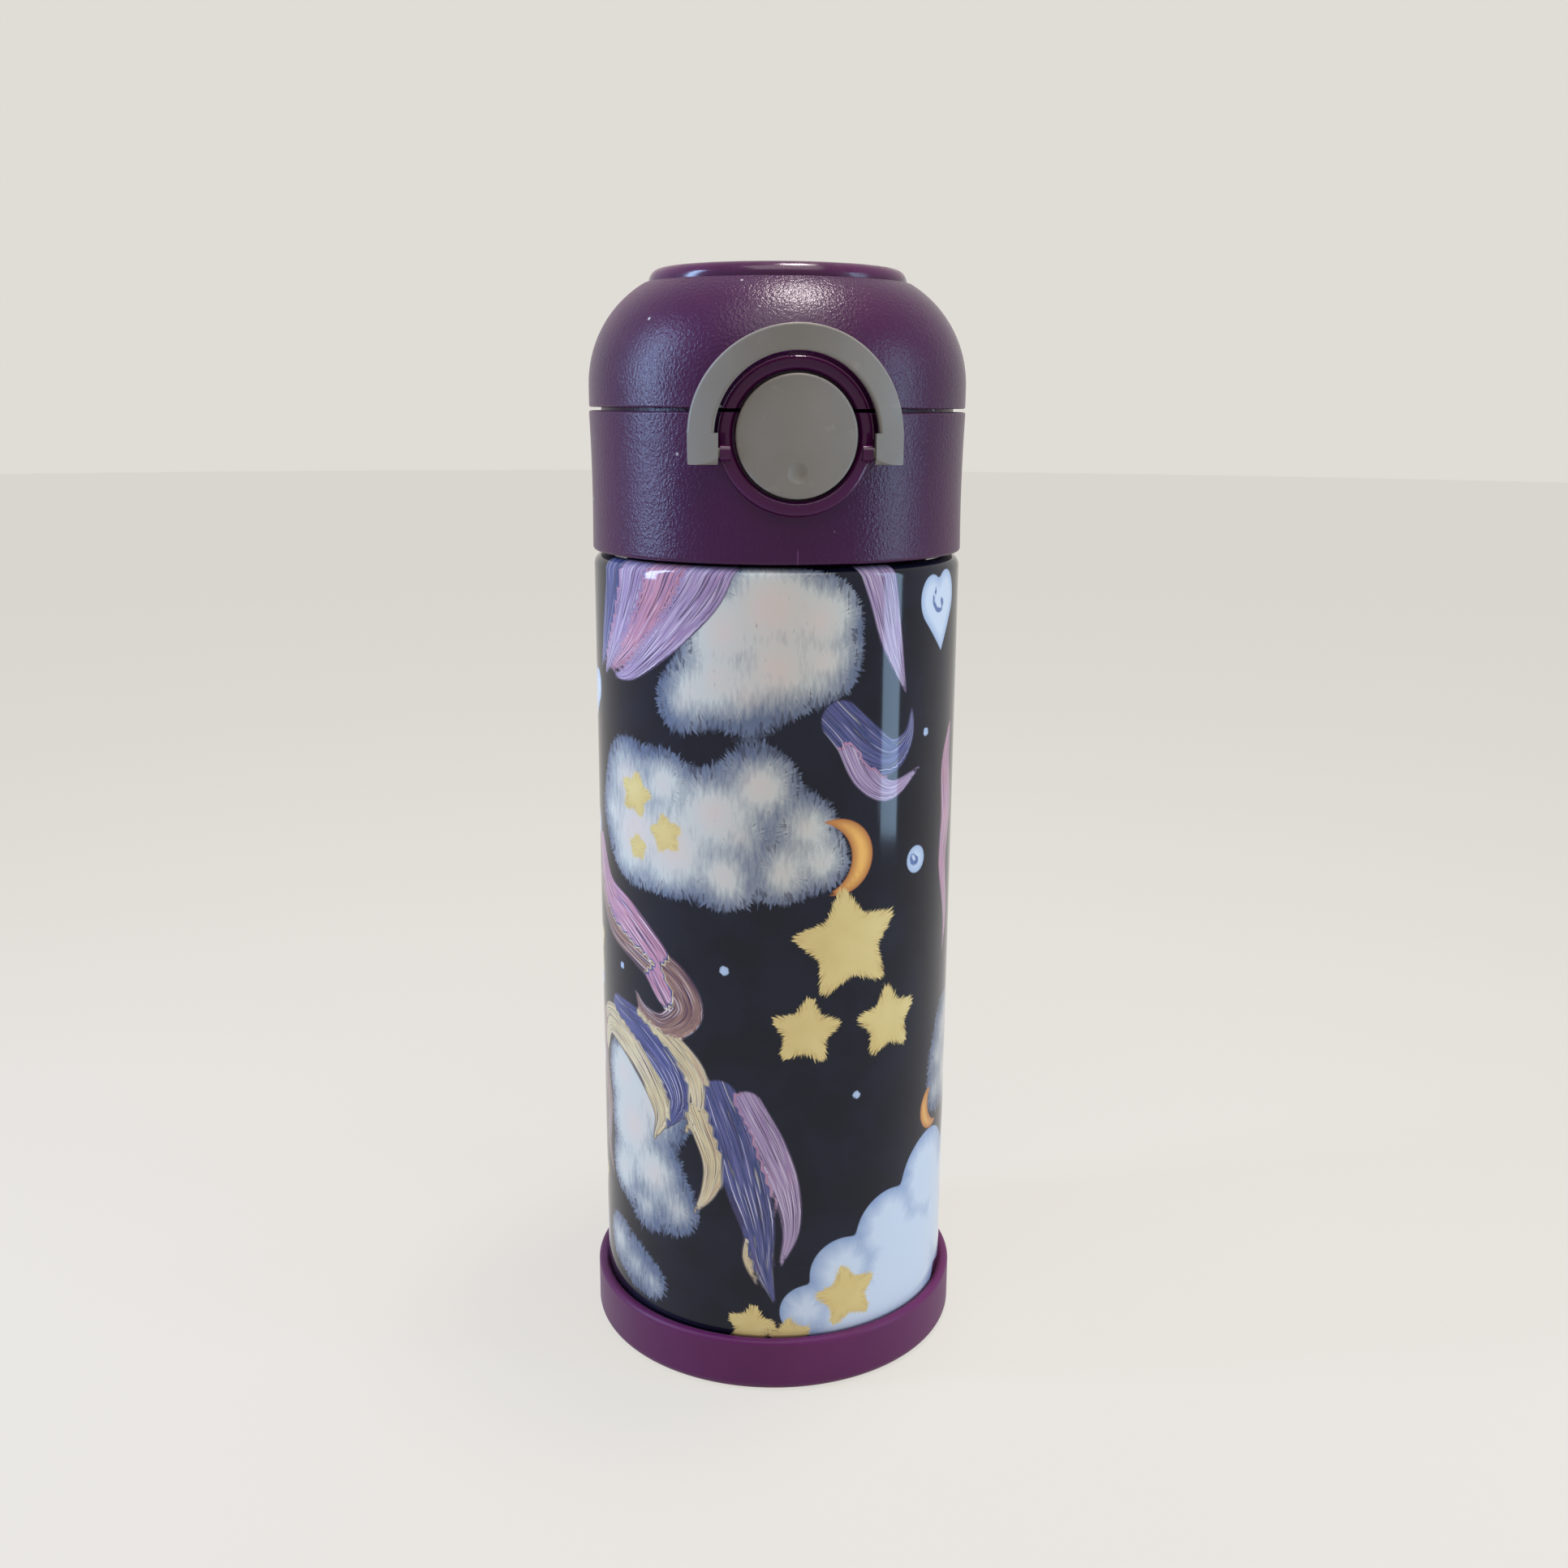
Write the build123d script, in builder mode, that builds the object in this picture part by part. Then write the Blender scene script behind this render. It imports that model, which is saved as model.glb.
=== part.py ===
from build123d import *

import os
from math import hypot, pi, sqrt

# Kids' vacuum water bottle: a steel double-wall flask in a soft foot, and a screw-on lid
# with a spring-up cap, a push button, a swing lock over the button and a carry ring.
# Millimetres. +Z is up, the origin is the middle of the foot's underside, the button faces -Y.

os.makedirs("parts", exist_ok=True)

# ---- Driving dimensions ----------------------------------------------------------------

# Clearances
running = 0.05
clear = 0.3
seal_gap = 0.1

# Flask
body_radius = 33.0
body_top = 149.4
shell_wall = 0.6
shell_foot_round = 2.5
shoulder_round = 2.0
neck_step = 6.5
neck_length = 15.1
neck_round = 1.2
thread_pitch = 4.0
thread_height = 0.8
thread_turns = 1.6
thread_root = 0.3
thread_start = 5.0
flask_wall = 0.5
vacuum_gap = 2.0
neck_vacuum_gap = 0.6
flask_floor_gap = 2.4
flask_corner = 6.0
flask_shoulder_round = 3.0
lip_round = 0.4
getter_radius = 5.0
getter_thickness = 1.2
getter_dent = 2.0

# Soft foot
boot_wall = 2.0
boot_height = 10.0
boot_floor = 2.0
boot_recess = 0.8
boot_rim = 8.0
boot_lip_round = 0.85
boot_foot_round = 1.6

# Lid: outer collar and threaded insert
collar_gap = 0.6
collar_length = 24.2
collar_flare = 0.45
collar_waist = 0.1
collar_foot = 0.2
collar_wall = 3.0
collar_deck = 2.0
collar_foot_round = 0.6
edge_round = 0.35
insert_wall = 2.0
insert_deck = 1.5
gasket_height = 2.0
gasket_rib_wall = 0.8
tower_step = 5.0
tower_wall = 1.9
tower_ledge = 3.6
light_lip = 1.2
light_lip_wall = 1.2

# Drinking spout
spout_step = 8.6
spout_shoulder = 7.5
spout_rise = 11.8
spout_wall = 1.7
spout_flange = 2.4
o_ring_wire = 0.7
air_hole_radius = 0.9

# Flip cap
seam_gap = 0.6
cap_step = 0.4
cap_wall = 1.8
dome_straight = 3.7
dome_round = 20.0
dome_height = 21.0
cap_edge_round = 0.8

# Carry ring
ring_step = 7.0
ring_tube = 2.2
ring_rise = 0.2
ring_pin_radius = 0.9
ring_lug_radius = 1.5
ring_lug_width = 2.6

# Button and the raised ring around it
button_radius = 9.8
button_drop = 3.7
button_proud = 0.5
button_thickness = 2.3
button_travel = 1.2
button_round = 0.5
dimple_radius = 1.7
dimple_drop = 5.7
dimple_depth = 0.45
surround_width = 2.35
surround_proud = 1.3
surround_round = 0.8
button_gap = 0.45
pocket_wall = 1.3
nib_width = 3.0
nib_height = 0.8

# Latch
latch_width = 8.0
latch_thickness = 2.2
hook_post = 1.4
hook_nose = 0.5
hook_height = 1.3
tooth_width = 7.0
tooth_thickness = 1.6
barb_reach = 1.1
barb_height = 1.4
button_spring_wire = 0.3
button_spring_radius = 1.1
button_spring_turns = 4

# Swing lock
bail_outer = 17.4
bail_inner = 13.25
bail_thickness = 1.8
bail_round = 0.4
bail_foot_height = 5.0
bail_foot_radius = 1.9
bail_pivot_drop = 2.6
bail_pivot_inset = 0.8
bail_pin_radius = 0.8
bail_pin_reach = 1.3
bail_lug_wall = 0.5

# Cap hinge
hinge_rise = 0.3
hinge_offset = 0.75
hinge_barrel = 2.6
hinge_pin_radius = 1.25
hinge_web = 9.0
hinge_web_radius = 0.8
knuckle_width = 4.5
spring_bay = 1.8
ear_width = 4.2
hinge_spring_wire = 0.5
hinge_spring_turns = 4
hinge_spring_leg = 6.0

# Cap liner and seal
liner_thickness = 1.6
liner_post_step = 2.5
liner_post_wall = 1.5
seal_step = 2.5
seal_holder_wall = 1.4
seal_thickness = 1.6
seal_lift = 0.2
plug_play = 1.3
plug_depth = 1.6

# ---- Worked out from the above ---------------------------------------------------------

boot_radius = body_radius + boot_wall
neck_radius = body_radius - neck_step
neck_top = body_top + neck_length
cap_bottom = body_top + collar_gap + collar_length + seam_gap
flask_radius = body_radius - shell_wall - vacuum_gap
flask_neck_radius = neck_radius - shell_wall - neck_vacuum_gap
plate_radius = body_radius - shell_foot_round - 1.0
flask_floor = boot_floor + shell_wall + getter_thickness + flask_floor_gap
flask_shoulder = body_top - shell_wall - vacuum_gap
lip_top = neck_top + flask_wall

collar_bottom = body_top + collar_gap
collar_top = collar_bottom + collar_length
collar_low_radius = body_radius + collar_foot
collar_mid_radius = body_radius + collar_waist
collar_top_radius = body_radius + collar_flare
collar_inner_radius = collar_top_radius - collar_wall
insert_radius = collar_inner_radius - running
insert_inner_radius = insert_radius - insert_wall
insert_deck_bottom = lip_top + gasket_height + 2 * seal_gap
insert_deck_top = insert_deck_bottom + insert_deck
collar_deck_bottom = collar_top - collar_deck
tower_radius = neck_radius - tower_step
tower_inner_radius = tower_radius - tower_wall
insert_hole_radius = tower_inner_radius - tower_ledge
spout_radius = tower_inner_radius - spout_step
spout_hole_radius = spout_radius * 0.5
thread_crest = neck_radius + thread_height
insert_crest = thread_crest + clear
spout_top = collar_top + spout_rise

cap_radius = body_radius + cap_step
dome_centre_r = cap_radius - dome_round
dome_start = cap_bottom + dome_straight
dome_top = cap_bottom + dome_height
cap_inner_radius = cap_radius - cap_wall
ring_radius = dome_centre_r + ring_step
ring_height = dome_top + ring_rise
moat_radius = ring_tube + clear
moat_wall = cap_wall - 0.3
ring_relief = ring_tube + clear + running
ring_lug_start = sqrt((ring_radius + ring_tube + clear) ** 2 - (ring_radius - ring_lug_radius) ** 2)
ring_lug_end = ring_lug_start + ring_lug_width

button_height = collar_top - button_drop
surround_inner = button_radius + button_gap
surround_outer = surround_inner + surround_width
surround_face = cap_radius + surround_proud
button_face = surround_face + button_proud
button_back = button_face - button_thickness
pocket_floor = button_back - button_travel - clear
surround_root = min(pocket_floor - 0.6, sqrt(surround_face ** 2 - surround_outer ** 2) - 1.5)

arm_bottom = insert_deck_top + clear
arm_top = arm_bottom + latch_thickness
tooth_bottom = arm_top + clear + 0.1
tooth_front = pocket_floor - pocket_wall
tooth_back = tooth_front - tooth_thickness
barb_tip = tooth_back - barb_reach
nose_tip = barb_tip - clear
post_front = nose_tip - hook_nose
post_back = post_front - hook_post
nose_bottom = tooth_bottom + barb_height + clear
post_top = nose_bottom + hook_height
window_front = tooth_front + clear
window_back = post_back - button_travel - clear

bail_back_radius = surround_face + clear
bail_face_radius = bail_back_radius + bail_thickness
bail_foot_inner = surround_outer + running
bail_pivot_height = button_height - bail_pivot_drop
bail_bottom = bail_pivot_height - bail_foot_radius
bail_middle = bail_back_radius + bail_thickness / 2
bail_pivot_y = sqrt(bail_middle ** 2 - bail_foot_inner ** 2) - bail_pivot_inset
bail_pin_end = bail_foot_inner - 0.4 - bail_pin_reach

hinge_y = collar_top_radius + hinge_offset
hinge_height = collar_top + hinge_rise
hinge_relief = hinge_barrel + clear
ear_start = knuckle_width + clear
ear_end = ear_start + ear_width
coil_radius = hinge_pin_radius + running + hinge_spring_wire / 2 + 0.05
coil_length = 2 * (spring_bay - clear) - hinge_spring_wire
leg_groove = coil_radius + hinge_spring_wire
liner_height = spout_top + seal_thickness
liner_post_radius = spout_radius + liner_post_step
seal_radius = spout_radius - seal_step
plug_radius = spout_hole_radius - plug_play


# ---- Shared shapes -----------------------------------------------------------------------

def turned(outline):
    """A closed outline in the XZ plane, turned about the bottle's axis."""
    with BuildPart() as solid:
        with BuildSketch(Plane.XZ):
            with BuildLine():
                Polyline(*outline, close=True)
            make_face()
        revolve(axis=Axis.Z)
    return solid.part


def sheet_metal(path, corners, wall):
    """A drawn steel skin: its outer line, with rounded corners, and a wall to its left."""
    with BuildPart() as skin:
        with BuildSketch(Plane.XZ):
            with BuildLine():
                FilletPolyline(*path, radius=corners)
                offset(amount=wall, side=Side.LEFT)
            make_face()
        revolve(axis=Axis.Z)
    return skin.part


def drum(radius, low, high):
    """A plain round bar on the bottle's axis."""
    with BuildPart() as bar:
        with BuildSketch(Plane.XY.offset(low)):
            Circle(radius)
        extrude(amount=high - low)
    return bar.part


def plug_along_y(radius, front, back, height=button_height):
    """A round bar along Y at the button's height, between two depths in front of the axis."""
    with BuildPart() as bar:
        with BuildSketch(Plane.XZ.offset(back)):
            with Locations((0, height)):
                Circle(radius)
        extrude(amount=front - back)
    return bar.part


def bar_along_x(radius, y, z, start, end):
    """A round bar along X at a given place."""
    with BuildPart() as bar:
        with BuildSketch(Plane.YZ.offset(start)):
            with Locations((y, z)):
                Circle(radius)
        extrude(amount=end - start)
    return bar.part


def block(x_size, front, back, low, high):
    """A block in front of the axis, centred in X, between two depths and two heights."""
    with BuildPart() as brick:
        with BuildSketch(Plane.XY.offset(low)):
            with Locations((0, -(front + back) / 2)):
                Rectangle(x_size, front - back)
        extrude(amount=high - low)
    return brick.part


def thread(radius, height, base, outward):
    """A rolled screw ridge on a round wall."""
    way = 1 if outward else -1
    with BuildPart() as ridge:
        with BuildLine():
            Helix(pitch=thread_pitch, height=thread_pitch * thread_turns, radius=radius,
                  center=(0, 0, base))
        with BuildSketch(Plane.XZ):
            with BuildLine():
                Polyline((radius - way * thread_root, base - 0.9), (radius + way * height, base - 0.35),
                         (radius + way * height, base + 0.35), (radius - way * thread_root, base + 0.9),
                         close=True)
            make_face()
        sweep(is_frenet=True)
    return ridge.part


# The raised ring around the button, whole. The seam later splits it between collar and cap.
with BuildPart() as surround_blank:
    add(plug_along_y(surround_outer, surround_face + 2, surround_root))
    add(drum(surround_face, button_height - 20, button_height + 20), mode=Mode.INTERSECT)
    add(plug_along_y(surround_inner, surround_face + 3, surround_root - 1), mode=Mode.SUBTRACT)
    rims = surround_blank.edges().filter_by(
        lambda edge: edge.center().Y < 0.05 - surround_root and edge.length > surround_inner
    )
    fillet(rims, surround_round)

surround_low = split(surround_blank.part, bisect_by=Plane.XY.offset(collar_top),
                     keep=Keep.BOTTOM)
surround_high = split(surround_blank.part, bisect_by=Plane.XY.offset(cap_bottom),
                      keep=Keep.TOP)

pocket = plug_along_y(surround_inner, surround_face + 3, pocket_floor)
pocket_back = split(plug_along_y(surround_inner + 1.2, pocket_floor, tooth_front),
                    bisect_by=Plane.XY.offset(cap_bottom), keep=Keep.TOP)


# ---- Flask -------------------------------------------------------------------------------

# Outer steel wall, drawn in one piece from the foot to the neck, with a rolled thread.
with BuildPart() as outer_shell:
    add(sheet_metal(
        [(plate_radius, boot_floor), (body_radius, boot_floor), (body_radius, body_top),
         (neck_radius, body_top), (neck_radius, neck_top)],
        [shell_foot_round, shoulder_round, neck_round],
        shell_wall,
    ))
    add(thread(neck_radius, thread_height, body_top + thread_start, outward=True))

# Inner steel wall, welded to the outer one at the lip.
with BuildPart() as inner_flask:
    add(sheet_metal(
        [(0, flask_floor), (flask_radius, flask_floor), (flask_radius, flask_shoulder),
         (flask_neck_radius, flask_shoulder), (flask_neck_radius, neck_top),
         (neck_radius, neck_top)],
        [flask_corner, flask_shoulder_round, neck_round + 0.3, lip_round],
        flask_wall,
    ))

# Steel disc that closes the vacuum space, with a dent for the getter.
dent = getter_radius + getter_dent
with BuildPart() as base_plate:
    add(sheet_metal(
        [(0, boot_floor + getter_thickness), (dent, boot_floor + getter_thickness),
         (dent + 1.5, boot_floor), (plate_radius - running, boot_floor)],
        [1.0, 1.0],
        shell_wall,
    ))

# Getter pill that keeps the vacuum.
getter_seat = boot_floor + getter_thickness + shell_wall
with BuildPart() as getter:
    add(drum(getter_radius, getter_seat, getter_seat + getter_thickness))
    fillet(getter.edges().group_by(Axis.Z)[-1], 0.3)

# Soft foot, stretched over the bottom of the flask.
with BuildPart() as base_boot:
    add(drum(boot_radius, 0, boot_height))
    add(drum(body_radius, boot_floor, boot_height), mode=Mode.SUBTRACT)
    add(drum(body_radius - boot_rim, 0, boot_recess), mode=Mode.SUBTRACT)
    fillet(base_boot.edges().group_by(Axis.Z)[-1], boot_lip_round)
    fillet(base_boot.edges().group_by(Axis.Z)[0].sort_by(SortBy.RADIUS)[-1], boot_foot_round)
    inner_corner = base_boot.edges().filter_by(GeomType.CIRCLE).filter_by(
        lambda edge: abs(edge.center().Z - boot_floor) < 0.01
    )
    fillet(inner_corner, shell_foot_round - 0.3)


# ---- Lid: what screws onto the neck --------------------------------------------------------

# Silicone ring on the flask's lip.
gasket_inner = flask_neck_radius
with BuildPart() as neck_gasket:
    add(turned([
        (gasket_inner, lip_top + seal_gap), (neck_radius + 0.6, lip_top + seal_gap),
        (neck_radius + 0.6, lip_top + seal_gap + gasket_height),
        (gasket_inner, lip_top + seal_gap + gasket_height),
    ]))
    fillet(neck_gasket.edges(), 0.4)

# Threaded insert: skirt over the neck, deck over the gasket, tower around the spout.
gasket_rib = flask_neck_radius - flask_wall - clear - gasket_rib_wall
with BuildPart() as thread_insert:
    add(turned([
        (insert_inner_radius, collar_bottom + 1), (insert_radius, collar_bottom + 1),
        (insert_radius, insert_deck_top), (tower_radius, insert_deck_top),
        (tower_radius, collar_top + light_lip),
        (tower_inner_radius, collar_top + light_lip),
        (tower_inner_radius, insert_deck_top), (insert_hole_radius, insert_deck_top),
        (insert_hole_radius, insert_deck_bottom), (gasket_rib, insert_deck_bottom),
        (gasket_rib, neck_top), (gasket_rib + gasket_rib_wall, neck_top),
        (gasket_rib + gasket_rib_wall, insert_deck_bottom), (insert_inner_radius, insert_deck_bottom),
    ]))
    add(thread(insert_inner_radius, insert_inner_radius - insert_crest, body_top + thread_start - 1,
               outward=False))

# Collar: the lid's outer shell below the seam.
with BuildPart() as collar:
    with BuildSketch(Plane.XZ):
        with BuildLine():
            outer = Spline((collar_low_radius, collar_bottom),
                           (collar_mid_radius, collar_bottom + collar_length / 3),
                           (collar_top_radius, collar_top))
            Polyline(outer @ 1, (tower_radius + running, collar_top),
                     (tower_radius + running, collar_deck_bottom),
                     (collar_inner_radius, collar_deck_bottom),
                     (collar_inner_radius, collar_bottom), outer @ 0)
        make_face()
    revolve(axis=Axis.Z)
    fillet(collar.edges().group_by(Axis.Z)[0].sort_by(SortBy.RADIUS)[-1], collar_foot_round)
    top_rim = collar.edges().filter_by(GeomType.CIRCLE).group_by(Axis.Z)[-1]
    fillet(top_rim.sort_by(SortBy.RADIUS)[-1], edge_round)
    # upstand inside the cap's wall, open in front for the latch, so that no light comes through
    lip_radius = cap_inner_radius - clear
    add(turned([(lip_radius - light_lip_wall, collar_top - 0.5), (lip_radius, collar_top - 0.5),
                (lip_radius, collar_top + light_lip),
                (lip_radius - light_lip_wall, collar_top + light_lip)]))
    add(block(2 * (surround_outer + 1), surround_face, tower_radius + 1, collar_top,
              collar_top + light_lip), mode=Mode.SUBTRACT)
    # lower half of the ring around the button, and the button's pocket
    add(surround_low)
    add(pocket, mode=Mode.SUBTRACT)
    # slot for the latch arm and window for the cap's tooth
    add(block(latch_width + 2 * clear, pocket_floor + 1, tooth_back, insert_deck_top,
              arm_top + clear), mode=Mode.SUBTRACT)
    add(block(latch_width + 2 * clear, window_front, window_back, insert_deck_top,
              collar_top + 1), mode=Mode.SUBTRACT)
    # bearings of the swing lock
    for side in (-1, 1):
        ends = sorted([side * bail_pin_end - side * 0.3, side * (bail_foot_inner - 0.35)])
        add(bar_along_x(bail_pin_radius + bail_lug_wall, -bail_pivot_y, bail_pivot_height, *ends))
        hole = sorted([side * bail_pin_end, side * (bail_foot_inner + 6)])
        add(bar_along_x(bail_pin_radius + running, -bail_pivot_y, bail_pivot_height, *hole),
            mode=Mode.SUBTRACT)
        sweep_room = sorted([side * (bail_foot_inner - 0.3), side * (bail_outer + 1)])
        add(bar_along_x(bail_foot_radius + clear, -bail_pivot_y, bail_pivot_height, *sweep_room),
            mode=Mode.SUBTRACT)
    # hinge: a bay for the cap's knuckles, two ears and a groove for the spring's leg
    add(bar_along_x(hinge_relief, hinge_y, hinge_height, -ear_start, ear_start),
        mode=Mode.SUBTRACT)
    for start in (-ear_end, ear_start):
        with BuildSketch(Plane.YZ.offset(start)):
            with Locations((hinge_y, hinge_height)):
                Circle(hinge_barrel)
            with Locations((collar_mid_radius - 1.6, hinge_height - hinge_web)):
                Circle(hinge_web_radius)
            make_hull()
        extrude(amount=ear_width)
    add(bar_along_x(hinge_pin_radius, hinge_y, hinge_height, -ear_end, ear_end),
        mode=Mode.SUBTRACT)
    with BuildSketch(Plane.XY.offset(hinge_height)):
        with Locations((coil_length / 2, hinge_y)):
            Rectangle(2 * hinge_spring_wire, 2 * leg_groove)
    extrude(amount=-hinge_spring_leg - clear, mode=Mode.SUBTRACT)

# Spout: flange in the tower, straight drinking tube, hole in its top.
flange_radius = tower_inner_radius - running
o_ring_height = insert_deck_top + spout_flange / 2
with BuildPart() as spout:
    add(turned([
        (insert_hole_radius, insert_deck_top), (flange_radius, insert_deck_top),
        (flange_radius, insert_deck_top + spout_flange),
        (spout_radius + 2.5, insert_deck_top + spout_flange + 0.6),
        (spout_radius, insert_deck_top + spout_shoulder), (spout_radius - 0.5, spout_top),
        (spout_hole_radius, spout_top), (spout_hole_radius, spout_top - spout_wall),
        (spout_radius - 0.5 - spout_wall, spout_top - spout_wall),
        (spout_radius - spout_wall, insert_deck_top + spout_shoulder - 0.6),
        (insert_hole_radius - 1, insert_deck_top + 1.2),
    ]))
    top_rims = spout.edges().group_by(Axis.Z)[-1].sort_by(SortBy.RADIUS)
    fillet(top_rims[-1], 1.4)
    fillet(top_rims[0], 0.6)
    with BuildSketch(Plane.XZ):
        with Locations((flange_radius, o_ring_height)):
            Circle(o_ring_wire)
    revolve(axis=Axis.Z, mode=Mode.SUBTRACT)
    # air hole through the flange
    with BuildSketch(Plane.XY.offset(insert_deck_top)):
        with Locations((0, spout_radius + 3.2)):
            Circle(air_hole_radius)
    extrude(amount=spout_flange + 2, mode=Mode.SUBTRACT)

# O-ring in the flange's groove.
with BuildPart() as spout_o_ring:
    with BuildSketch(Plane.XZ):
        with Locations((flange_radius - o_ring_wire, o_ring_height)):
            Circle(o_ring_wire - 0.02)
    revolve(axis=Axis.Z)
    add(spout.part, mode=Mode.SUBTRACT)

# Steel hinge pin through ears and knuckles.
with BuildPart() as hinge_pin:
    add(bar_along_x(hinge_pin_radius, hinge_y, hinge_height, -ear_end, ear_end))
    chamfer(hinge_pin.edges(), 0.2)

# Torsion spring on the hinge pin: four turns, one leg down on the collar, one up in the cap.
coil_plane = Plane(origin=(-coil_length / 2, hinge_y, hinge_height), x_dir=(0, -1, 0),
                   z_dir=(1, 0, 0))
leg = Vector(0, hinge_spring_leg, 0)
with BuildPart() as coil_blank:
    with BuildLine():
        coil = Helix(pitch=coil_length / hinge_spring_turns, height=coil_length,
                     radius=coil_radius)
        Line(coil @ 0 - leg, coil @ 0)
        Line(coil @ 1, coil @ 1 + leg)
    with BuildSketch(Plane(origin=coil @ 0 - leg, z_dir=(0, 1, 0))):
        Circle(hinge_spring_wire / 2)
    sweep(is_frenet=True)
with BuildPart() as hinge_spring:
    with Locations(coil_plane):
        add(coil_blank.part)

# Compression spring between the latch and the insert's tower.
spring_front = post_back
spring_back = tower_radius + running
spring_height = (arm_bottom + collar_deck_bottom) / 2
spring_length = spring_front - spring_back - button_spring_wire - 0.1
with BuildPart() as button_spring:
    with BuildLine():
        spring_line = Helix(pitch=spring_length / button_spring_turns, height=spring_length,
                            radius=button_spring_radius,
                            center=(0, -(spring_front - button_spring_wire / 2 - 0.05),
                                    spring_height),
                            direction=(0, 1, 0))
    with BuildSketch(Plane(origin=spring_line @ 0, z_dir=spring_line % 0)):
        Circle(button_spring_wire / 2)
    sweep(is_frenet=True)


# ---- Flip cap ------------------------------------------------------------------------------

def dome_outline(wall, floor):
    """Half section of the dome: straight side, one round shoulder, flat top."""
    top = dome_top - wall
    round_radius = dome_round - wall
    edge_r = dome_centre_r + sqrt(round_radius ** 2 - (top - dome_start) ** 2)
    middle_angle = 35
    middle = (Vector(dome_centre_r, dome_start)
              + Vector(round_radius, 0).rotate(Axis.Z, middle_angle))
    side = Line((cap_radius - wall, floor), (cap_radius - wall, dome_start))
    shoulder = ThreePointArc(side @ 1, (middle.X, middle.Y), (edge_r, top))
    Polyline(shoulder @ 1, (0, top), (0, floor), side @ 0)


with BuildPart() as cap_shell:
    with BuildSketch(Plane.XZ):
        with BuildLine():
            dome_outline(0, cap_bottom)
        make_face()
    revolve(axis=Axis.Z)
    rims = cap_shell.edges().filter_by(GeomType.CIRCLE).group_by(Axis.Z)
    fillet(rims[-1].sort_by(SortBy.RADIUS)[-1], cap_edge_round)
    fillet(rims[0].sort_by(SortBy.RADIUS)[-1], edge_round)
    # hollow, with a thicker wall left under the ring's groove
    with BuildSketch(Plane.XZ):
        with BuildLine():
            dome_outline(cap_wall, cap_bottom)
        make_face()
        with Locations((ring_radius, ring_height)):
            Circle(moat_radius + moat_wall, mode=Mode.SUBTRACT)
    revolve(axis=Axis.Z, mode=Mode.SUBTRACT)
    with BuildSketch(Plane.XZ):
        with Locations((ring_radius, ring_height)):
            Circle(moat_radius)
    revolve(axis=Axis.Z, mode=Mode.SUBTRACT)
    # upper half of the ring around the button, the pocket's back wall and the nib
    add(surround_high)
    add(pocket, mode=Mode.SUBTRACT)
    add(pocket_back)
    with BuildSketch(Plane.XZ.offset(cap_inner_radius)):
        with Locations((0, button_height + surround_outer)):
            SlotOverall(nib_width, nib_height)
    extrude(amount=surround_face - 0.6 - cap_inner_radius)
    # catch tooth behind the pocket, with its barb
    add(block(tooth_width, tooth_front, tooth_back, tooth_bottom, cap_bottom + 3))
    add(block(tooth_width, tooth_back, barb_tip, tooth_bottom, tooth_bottom + barb_height))
    # hinge: notches for the ears, two knuckles and a groove for the spring's leg
    for start in (-ear_end - clear, ear_start - clear):
        add(bar_along_x(hinge_relief, hinge_y, hinge_height, start,
                        start + ear_width + 2 * clear), mode=Mode.SUBTRACT)
    add(bar_along_x(hinge_relief, hinge_y, hinge_height, -spring_bay, spring_bay),
        mode=Mode.SUBTRACT)
    for start in (-knuckle_width, spring_bay):
        with BuildSketch(Plane.YZ.offset(start)):
            with Locations((hinge_y, hinge_height)):
                Circle(hinge_barrel)
            with Locations((cap_radius - 1.4, hinge_height + hinge_web)):
                Circle(hinge_web_radius)
            make_hull()
        extrude(amount=knuckle_width - spring_bay)
    add(bar_along_x(hinge_pin_radius + running, hinge_y, hinge_height, -ear_end, ear_end),
        mode=Mode.SUBTRACT)
    with BuildSketch(Plane.XY.offset(hinge_height)):
        with Locations((-coil_length / 2, hinge_y)):
            Rectangle(2 * hinge_spring_wire, 2 * leg_groove)
    extrude(amount=hinge_spring_leg + clear, mode=Mode.SUBTRACT)
    # carry ring: relief at its pivot, two lugs and the pin's hole
    add(bar_along_x(ring_relief, ring_radius, ring_height, -ring_radius / 2, ring_radius / 2),
        mode=Mode.SUBTRACT)
    for start in (-ring_lug_end, ring_lug_start):
        with BuildSketch(Plane.YZ.offset(start)):
            with Locations((ring_radius, ring_height)):
                Circle(ring_lug_radius)
            with Locations((ring_radius, ring_height - 4)):
                Rectangle(2 * ring_lug_radius, 2)
            make_hull()
        extrude(amount=ring_lug_width)
    add(bar_along_x(ring_pin_radius, ring_radius, ring_height, -ring_lug_end, ring_lug_end),
        mode=Mode.SUBTRACT)

# Liner: a disc snapped under the dome, with a post to the ceiling and a holder for the seal.
liner_radius = dome_centre_r - 2 * running + sqrt(
    (dome_round - cap_wall) ** 2 - (liner_height + liner_thickness - dome_start) ** 2)
holder_bottom = spout_top + clear
with BuildPart() as cap_liner:
    add(turned([
        (seal_radius, holder_bottom), (seal_radius + seal_holder_wall, holder_bottom),
        (seal_radius + seal_holder_wall, liner_height), (liner_radius, liner_height),
        (liner_radius, liner_height + liner_thickness),
        (liner_post_radius, liner_height + liner_thickness),
        (liner_post_radius, dome_top - cap_wall),
        (liner_post_radius - liner_post_wall, dome_top - cap_wall),
        (liner_post_radius - liner_post_wall, liner_height + liner_thickness),
        (0, liner_height + liner_thickness), (0, liner_height), (seal_radius, liner_height),
    ]))

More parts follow.
